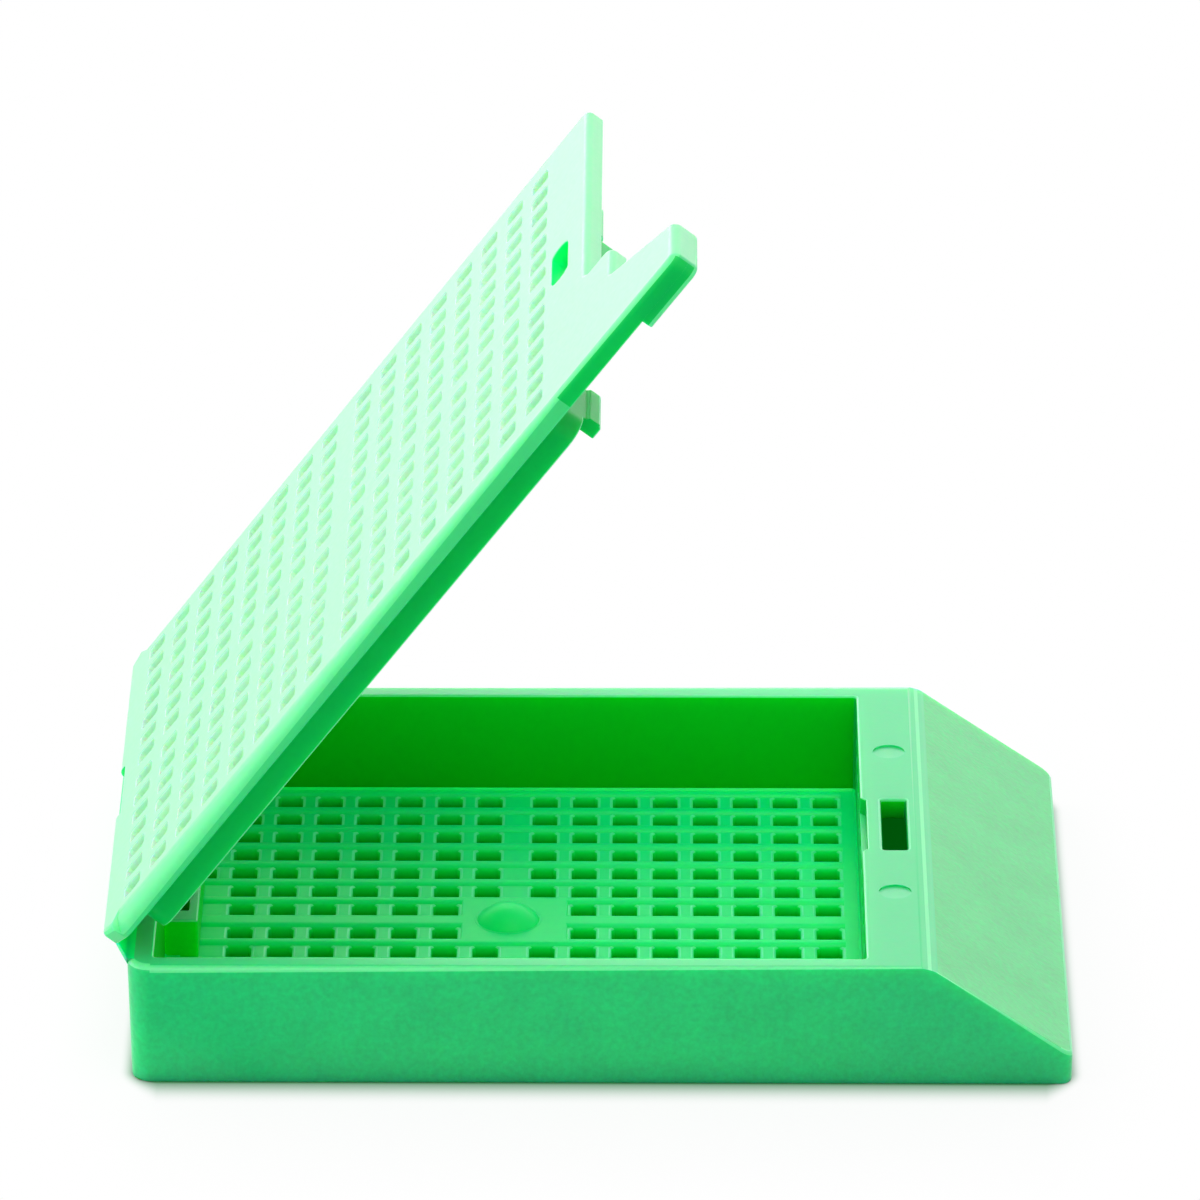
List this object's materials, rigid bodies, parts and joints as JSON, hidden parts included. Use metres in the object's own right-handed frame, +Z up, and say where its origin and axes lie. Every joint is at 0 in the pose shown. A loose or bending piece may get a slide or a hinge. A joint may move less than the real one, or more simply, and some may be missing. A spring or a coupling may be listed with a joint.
{
  "type": "tissue cassette",
  "caption": "Shallow perforated plastic tray with a sloping label face and a perforated latching lid on a living hinge, shown half open.",
  "frame": {"origin": "middle of the tray's flat underside", "axes": "+X from the hinge to the label end, +Y across the tray, +Z up, away from the underside"},
  "size_m": [0.0414, 0.0286, 0.0383],
  "materials": {
    "green_acetal": "moulded, satin with a fine grain, slightly translucent"
  },
  "bodies": {
    "tray_body": {"tray": "green_acetal", "living_hinge": "green_acetal"},
    "lid_body": {"lid": "green_acetal"}
  },
  "joints": [
    {"name": "lid_hinge", "type": "hinge", "parent": "tray_body", "child": "lid_body", "pos_m": [-0.021, 0, 0.0056], "axis": [0, -1, 0], "range_deg": [-52.5, 127.5], "deforming": ["living_hinge"]}
  ]
}
